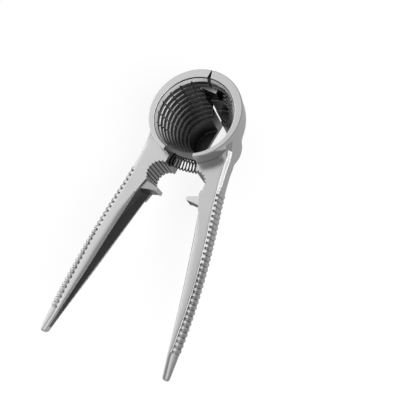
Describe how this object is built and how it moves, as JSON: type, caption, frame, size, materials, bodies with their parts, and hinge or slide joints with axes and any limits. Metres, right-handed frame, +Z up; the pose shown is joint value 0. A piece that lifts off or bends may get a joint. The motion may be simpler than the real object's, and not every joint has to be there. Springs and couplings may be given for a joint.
{
  "type": "nutcracker pliers",
  "caption": "Nutcracker pliers: two cast levers hinged behind a stepped cup that grips the nut, with ribbed channel handles, a small round jaw and a return spring.",
  "frame": {"origin": "under the middle of the whole part, on the plane of the cup's flat underside", "axes": "+Z up along the cup's axis out of its mouth, +Y toward the hinge, handles toward -Y, +X to the lever with the hinge's ears"},
  "size_m": [0.079, 0.1676, 0.0515],
  "materials": {
    "cast_metal": "satin",
    "pin_steel": "satin",
    "spring_steel": "satin"
  },
  "bodies": {
    "left_lever": {"left_half": "cast_metal", "hinge_pin": "pin_steel", "compression_spring": "spring_steel"},
    "right_lever": {"right_half": "cast_metal"}
  },
  "joints": [
    {"name": "handle_hinge", "type": "hinge", "parent": "left_lever", "child": "right_lever", "pos_m": [0, 0.0802, 0.0257], "axis": [0, 0, -1], "range_deg": [0, 14.2], "stiffness_Nm_per_rad": 0.6, "springref_deg": -6.88, "deforming": ["compression_spring"]}
  ]
}
